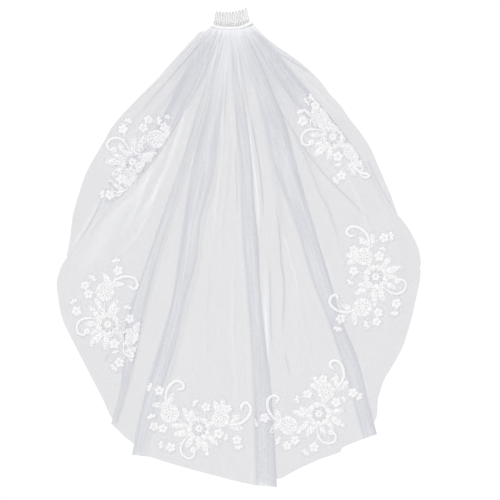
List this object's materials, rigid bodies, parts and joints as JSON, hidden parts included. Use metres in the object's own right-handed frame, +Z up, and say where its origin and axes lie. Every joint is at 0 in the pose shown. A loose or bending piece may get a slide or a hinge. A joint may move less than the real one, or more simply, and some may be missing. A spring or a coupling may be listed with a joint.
{
  "type": "bridal veil",
  "caption": "Single-tier tulle bridal veil with a wire comb, satin binding and floral lace appliques, laid out flat as a fan with Z-folds.",
  "frame": {"origin": "middle of the laid-out veil's footprint, on the surface it lies on", "axes": "+X to the veil's right as seen from above with the comb at the top, +Y from the hem towards the comb, +Z up from the surface"},
  "size_m": [0.7088, 0.9372, 0.007],
  "materials": {
    "tulle": "sheer net",
    "satin": "satin",
    "lace": "embroidered",
    "wire": "polished"
  },
  "bodies": {
    "root": {"tulle_panel": "tulle", "ribbon_binding": "satin", "comb_winding": "wire", "comb_teeth": "wire", "lace_upper_left": "lace", "lace_middle_left": "lace", "lace_bottom_left": "lace", "lace_bottom_right": "lace", "lace_middle_right": "lace", "lace_upper_right": "lace"}
  },
  "joints": []
}
